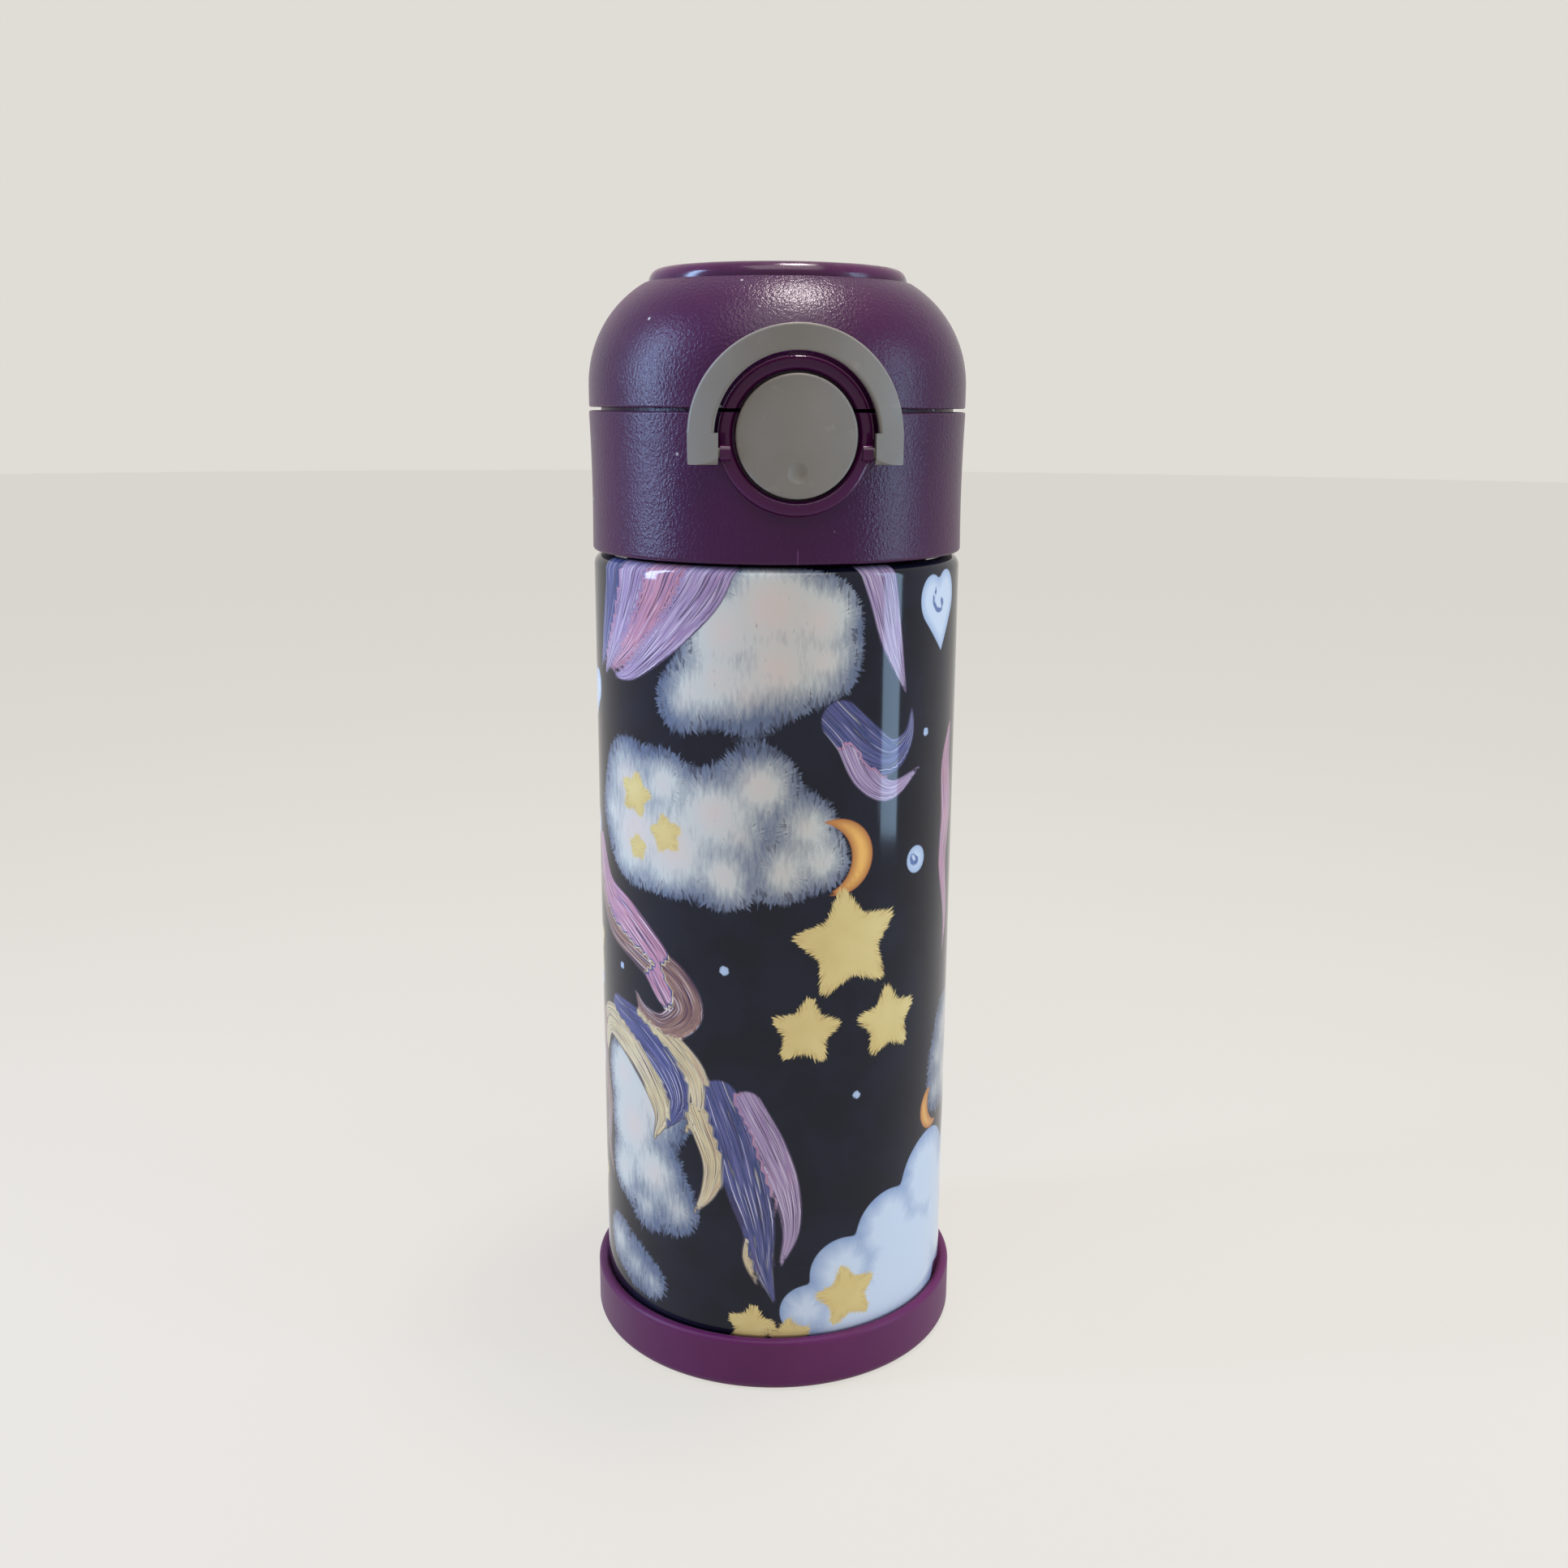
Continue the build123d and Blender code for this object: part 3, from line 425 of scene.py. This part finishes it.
puff = blend(tree, calc(tree, "MULTIPLY", ramp(tree, edge, -3.5, -7.5), 0.5), puff,
             paint(218, 190, 176))
puff = blend(tree, calc(tree, "MULTIPLY", rim, 0.55), puff, paint(104, 114, 136))
puff = blend(tree, ramp(tree, calc(tree, "MULTIPLY_ADD", rim, 0.25, pile), 0.70, 0.82, 0.0, 0.7),
             puff, paint(50, 54, 74))
colour = blend(tree, inside(rough_edge, 0.2), colour, puff)

# streamers: strands of lilac, rose, blue, straw and tan with dark lines between them
edge, across, along = mark("band_edge"), mark("band_across"), mark("band_along")
strand = strokes(across, along, 0.22, 9.0)
fine = strokes(across, along, 0.09, 14.0, 1.0)
hue = calc(tree, "ADD", mark("band_tint"), calc(tree, "MULTIPLY_ADD", strand, 0.5, -0.25))
hues = node(tree, "ValToRGB", {"Fac": hue})
for stop, (position, tone) in enumerate([
        (0.0, (184, 162, 184)), (0.12, (148, 124, 158)), (0.27, (192, 134, 150)),
        (0.40, (100, 98, 142)), (0.52, (58, 68, 110)), (0.66, (212, 192, 146)),
        (0.80, (168, 130, 112)), (1.0, (80, 50, 68))]):
    element = (hues.color_ramp.elements[stop] if stop < 2
               else hues.color_ramp.elements.new(position))
    element.position = position
    element.color = paint(*tone)
band = hues.outputs[0]
band = blend(tree, ramp(tree, fine, 0.56, 0.62, 0.0, 0.75), band, paint(52, 44, 70))
band = blend(tree, ramp(tree, fine, 0.40, 0.33, 0.0, 0.6), band, paint(232, 222, 226))
band = blend(tree, ramp(tree, edge, -0.35, -0.05, 0.0, 0.8), band, paint(44, 38, 62))
colour = blend(tree, inside(edge), colour, band)

# the smooth white cloud with soft blue folds
edge, turn = mark("white_edge"), mark("white_turn")
fold = strokes(turn, edge, 3.0, 6.0)
lift = calc(tree, "ADD", ramp(tree, edge, 0.0, -5.0),
            calc(tree, "MULTIPLY_ADD", fold, 0.7, -0.35))
white = blend(tree, ramp(tree, lift, 0.0, 0.75), paint(140, 158, 188), paint(198, 207, 218))
colour = blend(tree, inside(edge), colour, white)

# moons and hearts
edge = mark("moon_edge")
colour = blend(tree, inside(edge), colour,
               blend(tree, ramp(tree, edge, 0.0, -1.6), paint(176, 108, 62), paint(236, 178, 96)))
edge = mark("heart_edge")
colour = blend(tree, inside(edge), colour,
               blend(tree, ramp(tree, edge, 0.0, -2.0), paint(164, 180, 204), paint(204, 212, 222)))
colour = blend(tree, inside(mark("curl_edge"), 0.1), colour, paint(96, 116, 158))

# felt stars with a frayed rim
edge, turn = mark("star_edge"), mark("star_turn")
fray = strokes(turn, edge, 0.38, 1.8)
rough_edge = calc(tree, "MULTIPLY_ADD", calc(tree, "SUBTRACT", fray, 0.5), 2.6, edge)
felt = blend(tree, ramp(tree, mottle, 0.3, 0.7), paint(210, 184, 118), paint(220, 197, 134))
fringe = calc(tree, "MULTIPLY", ramp(tree, edge, -1.4, 0.2), ramp(tree, fray, 0.45, 0.62))
felt = blend(tree, calc(tree, "MULTIPLY", fringe, 0.7), felt, paint(168, 122, 66))
colour = blend(tree, inside(rough_edge, 0.2), colour, felt)
tree.links.new(colour, shader.inputs["Base Color"])

# the lacquer over it lies almost flat, with a faint orange-peel and a few hairline rubs
rubs = grain(tree, place(tree, (1.0, 1.0, 0.12)), 700.0, 3.0)
gloss = ramp(tree, rubs, 0.62, 0.75, 0.08, 0.16)
tree.links.new(gloss, shader.inputs["Roughness"])
emboss(tree, shader, grain(tree, spread, 260.0), 0.06, 0.05 * MM)
coat.data.materials.append(print_finish)
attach(coat, "bottle")


# ---- Soft foot ----------------------------------------------------------------------------
# A moulded silicone boot, magenta-purple, stretched over the bottom edge. Satin, a little
# chalky from handling, with lint caught on it.

def soft_rubber(name, colour, dusty, roughness):
    """Moulded silicone: satin skin, faint mottle and lint."""
    material, tree, shader = finish(name, roughness, specular=0.28)
    skin = place(tree)
    wide = grain(tree, skin, 45.0, 3.0)
    fine = grain(tree, skin, 1900.0, 2.0)
    base = blend(tree, ramp(tree, wide, 0.35, 0.7, 0.0, 0.5), colour, dusty)
    lint = node(tree, "TexVoronoi", {"Vector": skin, "Scale": 330.0})
    speck = calc(tree, "MULTIPLY", ramp(tree, lint.outputs["Distance"], 0.10, 0.05),
                 ramp(tree, grain(tree, skin, 130.0), 0.62, 0.66))
    base = blend(tree, calc(tree, "MULTIPLY", speck, 0.5), base, paint(216, 208, 214))
    tree.links.new(base, shader.inputs["Base Color"])
    tree.links.new(ramp(tree, wide, 0.3, 0.7, roughness - 0.06, roughness + 0.08),
                   shader.inputs["Roughness"])
    emboss(tree, shader, fine, 0.25, 0.03 * MM)
    shader.inputs["Sheen Weight"].default_value = 0.06
    return material


coat_nodes(soft_rubber("boot_silicone", paint(84, 15, 70), paint(98, 26, 84), 0.46),
           "base_boot")
coat_nodes(soft_rubber("seal_silicone", paint(208, 206, 210), paint(190, 188, 194), 0.48),
           "neck_gasket", "cap_seal", "spout_o_ring")


# ---- Lid: collar and domed cap --------------------------------------------------------------
# Injection-moulded plastic in aubergine purple with a fine spark-eroded grain that turns the
# light soft. The raised ring around the button is polished, and specks of dust lie on it all.

def lid_plastic(name, colour, warm, roughness):
    """Grained purple plastic, polished on the raised ring round the button."""
    material, tree, shader = finish(name, roughness, specular=0.27)
    skin = place(tree)
    wide = grain(tree, skin, 38.0, 3.0)
    fine = grain(tree, skin, 1900.0, 2.0, 0.6)
    parts = node(tree, "SeparateXYZ", {0: skin}).outputs
    rim_out, rim_back = 12.68 * MM, -31.3 * MM
    low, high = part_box("button")
    lift = calc(tree, "SUBTRACT", parts[2], (low.z + high.z) / 2)
    out = calc(tree, "SQRT", calc(tree, "ADD", calc(tree, "MULTIPLY", parts[0], parts[0]),
                                  calc(tree, "MULTIPLY", lift, lift)))
    raised = calc(tree, "MULTIPLY",
                  ramp(tree, out, rim_out + 0.07 * MM, rim_out - 0.08 * MM),
                  ramp(tree, parts[1], rim_back + 0.3 * MM, rim_back - 0.3 * MM))
    base = blend(tree, ramp(tree, wide, 0.35, 0.7, 0.0, 0.6), colour, warm)
    base = blend(tree, ramp(tree, fine, 0.5, 0.8, 0.0, 0.2), base, paint(80, 30, 82))
    base = blend(tree, raised, base, paint(64, 10, 58))
    dust = node(tree, "TexVoronoi", {"Vector": skin, "Scale": 210.0})
    speck = calc(tree, "MULTIPLY", ramp(tree, dust.outputs["Distance"], 0.085, 0.05),
                 ramp(tree, grain(tree, skin, 90.0), 0.58, 0.62))
    base = blend(tree, calc(tree, "MULTIPLY", speck, 0.6), base, paint(224, 220, 222))
    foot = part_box("collar")[0].z
    mould_line = calc(tree, "MULTIPLY",
                      ramp(tree, calc(tree, "ABSOLUTE", calc(tree, "ADD", parts[0], -0.3 * MM)),
                           0.16 * MM, 0.06 * MM),
                      calc(tree, "MULTIPLY", ramp(tree, parts[1], -20 * MM, -22 * MM),
                           ramp(tree, parts[2], foot + 2.6 * MM, foot + 2.2 * MM)))
    base = blend(tree, calc(tree, "MULTIPLY", mould_line, 0.45), base, paint(120, 70, 116))
    tree.links.new(base, shader.inputs["Base Color"])
    satin = ramp(tree, wide, 0.3, 0.7, roughness - 0.04, roughness + 0.05)
    tree.links.new(calc(tree, "MULTIPLY", satin, ramp(tree, raised, 0.0, 1.0, 1.0, 0.42)),
                   shader.inputs["Roughness"])
    height = calc(tree, "MULTIPLY", fine, ramp(tree, raised, 0.0, 1.0, 1.0, 0.12))
    emboss(tree, shader, height, 1.0, 0.12 * MM)
    return material


coat_nodes(lid_plastic("lid_plastic", paint(52, 9, 54), paint(66, 13, 58), 0.27),
           "collar", "cap_shell")
coat_nodes(lid_plastic("inner_plastic", paint(140, 136, 142), paint(126, 120, 130), 0.36),
           "thread_insert", "cap_liner", "spout")


# ---- Carry ring ------------------------------------------------------------------------------
# A round ring of the same purple, moulded smooth, that lies in a groove on the dome and swings
# up on a steel pin.

ring_finish, tree, shader = finish("ring_plastic", 0.2, specular=0.35)
skin = place(tree)
scuffs = grain(tree, place(tree, (1.0, 1.0, 0.3)), 600.0, 4.0)
wide = grain(tree, skin, 60.0)
tree.links.new(blend(tree, ramp(tree, wide, 0.35, 0.7), paint(62, 13, 56), paint(74, 18, 66)),
               shader.inputs["Base Color"])
tree.links.new(ramp(tree, scuffs, 0.45, 0.75, 0.17, 0.34), shader.inputs["Roughness"])
emboss(tree, shader, scuffs, 0.12, 0.02 * MM)
coat_nodes(ring_finish, "carry_ring")


# ---- Push button, latch and swing lock ---------------------------------------------------------
# Warm grey plastic with a dead-flat matt face: a round button with a thumb dimple, the latch
# arm clipped behind it, and the arched lock that swings over them on two short pins.

def grey_plastic(name, colour, pale, roughness):
    """Matt warm grey plastic with fine grain and handling marks."""
    material, tree, shader = finish(name, roughness, specular=0.4)
    skin = place(tree)
    wide = grain(tree, skin, 55.0, 4.0)
    fine = grain(tree, skin, 3200.0, 2.0)
    marks = grain(tree, place(tree, (1.0, 1.0, 1.2)), 260.0, 3.0)
    base = blend(tree, ramp(tree, wide, 0.35, 0.7), colour, pale)
    base = blend(tree, ramp(tree, marks, 0.64, 0.72, 0.0, 0.25), base, paint(152, 147, 138))
    tree.links.new(base, shader.inputs["Base Color"])
    tree.links.new(ramp(tree, marks, 0.35, 0.7, roughness + 0.05, roughness - 0.07),
                   shader.inputs["Roughness"])
    emboss(tree, shader, fine, 0.3, 0.025 * MM)
    return material


grey = grey_plastic("grey_plastic", paint(118, 112, 104), paint(128, 122, 114), 0.48)
coat_nodes(grey, "button", "lock_bail", "latch_hook")


# ---- Springs and pins --------------------------------------------------------------------------
# Spring wire and ground pins: the cap's hinge pin with its torsion spring, the compression
# spring behind the latch and the carry ring's pin.

coat_nodes(steel("pin_steel", paint(178, 180, 186), 0.26, (0.06, 1.0, 1.0)),
           "hinge_pin", "ring_pin")
coat_nodes(steel("spring_wire", paint(160, 162, 168), 0.32, (1.0, 1.0, 1.0)),
           "hinge_spring", "button_spring")


# ---- Stage -------------------------------------------------------------------------------------
# A pale floor under soft light: a wide lamp overhead with a small warm one behind it, and a
# tall cool one at each side.

bpy.ops.object.select_all(action="DESELECT")
bpy.ops.mesh.primitive_circle_add(vertices=96, radius=4.0, fill_type="NGON")
floor = bpy.context.object
floor.name = "studio_floor"
floor_finish, tree, shader = finish("studio_floor", 0.85, specular=0.1)
fibre = grain(tree, place(tree), 14.0, 3.0)
tree.links.new(blend(tree, fibre, paint(224, 219, 212), paint(230, 225, 218)),
               shader.inputs["Base Color"])
path = node(tree, "LightPath").outputs
seen = calc(tree, "MAXIMUM", path["Is Camera Ray"],
            calc(tree, "MAXIMUM", path["Is Glossy Ray"], path["Is Transmission Ray"]))
pale = node(tree, "Emission", {"Color": paint(228, 224, 217), "Strength": 1.0})
evened = node(tree, "MixShader", {0: calc(tree, "MULTIPLY", seen, 0.85), 1: shader.outputs[0],
                                  2: pale.outputs[0]})
tree.links.new(evened.outputs[0], tree.nodes["Material Output"].inputs["Surface"])
floor.data.materials.append(floor_finish)

world = bpy.data.worlds.new("studio")
bpy.context.scene.world = world
world.use_nodes = True
tree = world.node_tree
tree.nodes.clear()
path = node(tree, "LightPath").outputs
seen = calc(tree, "MAXIMUM", path["Is Camera Ray"],
            calc(tree, "MAXIMUM", path["Is Glossy Ray"], path["Is Transmission Ray"]))
ambient = node(tree, "Background", {"Color": (0.93, 0.95, 1.0, 1.0), "Strength": 0.30})
backdrop = node(tree, "Background", {"Color": paint(224, 220, 214), "Strength": 1.0})
mixed = node(tree, "MixShader", {0: seen, 1: ambient.outputs[0], 2: backdrop.outputs[0]})
output = node(tree, "OutputWorld", {"Surface": mixed.outputs[0]})


def lamp(name, spot, aim, wide, tall, watts, colour):
    """A rectangular softbox at a spot, facing a point."""
    light = bpy.data.lights.new(name, "AREA")
    light.shape = "RECTANGLE"
    light.size, light.size_y = wide, tall
    light.energy, light.color = watts, colour
    holder = bpy.data.objects.new(name, light)
    holder.location = spot
    holder.rotation_euler = (Vector(aim) - Vector(spot)).to_track_quat("-Z", "Y").to_euler()
    holder.visible_camera = False
    bpy.context.scene.collection.objects.link(holder)


lamp("overhead", (0.02, -0.30, 0.75), (0, 0, 0.1), 0.55, 0.40, 2.3, (1.0, 0.97, 0.93))
lamp("ceiling_lamp", (0.07, 0.01, 0.70), (0, -0.02, 0.18), 0.09, 0.09, 2.6, (1.0, 0.90, 0.88))
lamp("right_window", (0.27, -0.115, 0.17), (0.017, -0.028, 0.12), 0.07, 0.30, 0.5,
     (0.48, 0.72, 1.0))
lamp("left_window", (-0.36, -0.03, 0.27), (-0.02, -0.02, 0.17), 0.06, 0.32, 1.7,
     (0.42, 0.64, 1.0))


# ---- Camera ------------------------------------------------------------------------------------
# At arm's length, a little above the lid, looking slightly down.

yaw, pitch, roll = radians(5.72), radians(13.38), radians(0.32)
forward = Vector((sin(yaw) * cos(pitch), cos(yaw) * cos(pitch), -sin(pitch)))
level = Vector((cos(yaw), -sin(yaw), 0))
upright = level.cross(forward)
right = level * cos(roll) + upright * sin(roll)
up = upright * cos(roll) - level * sin(roll)
lens = bpy.data.cameras.new("camera")
lens.sensor_width = 36.0
lens.lens = 36.925
lens.clip_start = 0.01
camera = bpy.data.objects.new("camera", lens)
bpy.context.scene.collection.objects.link(camera)
camera.matrix_world = Matrix.Translation((-0.02785, -0.29378, 0.17590)) @ Matrix(
    (right, up, -forward)).transposed().to_4x4()
bpy.context.scene.camera = camera
bpy.context.scene.view_settings.view_transform = "Standard"
